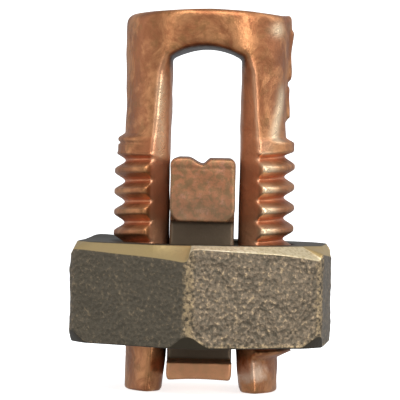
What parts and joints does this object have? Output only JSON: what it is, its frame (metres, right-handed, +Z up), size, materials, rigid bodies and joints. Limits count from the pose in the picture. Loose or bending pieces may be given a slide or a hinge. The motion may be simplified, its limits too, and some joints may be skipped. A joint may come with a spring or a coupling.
{
  "type": "split bolt connector",
  "caption": "Split bolt wire connector: a slotted copper bolt, a hex nut on its thread and a captive pressure bar that clamps wires in the slot.",
  "frame": {"origin": "on the bolt's axis at the height of its two leg ends, which it stands on", "axes": "+Z up along the bolt's axis towards the closed end, +X across the two legs, +Y through the slot, the way the wires lie"},
  "size_m": [0.0162, 0.0172, 0.0234],
  "materials": {
    "bolt_copper": "satin copper, mottled brown",
    "nut_bronze": "cast bronze with turned chamfers",
    "bar_copper": "dull copper, browned"
  },
  "bodies": {
    "bolt": {"split_bolt": "bolt_copper"},
    "bar": {"pressure_bar": "bar_copper"},
    "nut": {"hex_nut": "nut_bronze"}
  },
  "joints": [
    {"name": "bar_slide", "type": "slide", "parent": "bolt", "child": "bar", "axis": [0, 0, 1], "range_m": [-0.0061, 0.006]},
    {"name": "nut_turn", "type": "hinge", "parent": "bar", "child": "nut", "pos_m": [0, 0, 0.006], "axis": [0, 0, 1], "range_deg": [-1729, 1700]}
  ],
  "couplings": [
    {"joint": "bar_slide", "follows": "nut_turn", "m_per_rad": 0.00020213}
  ]
}
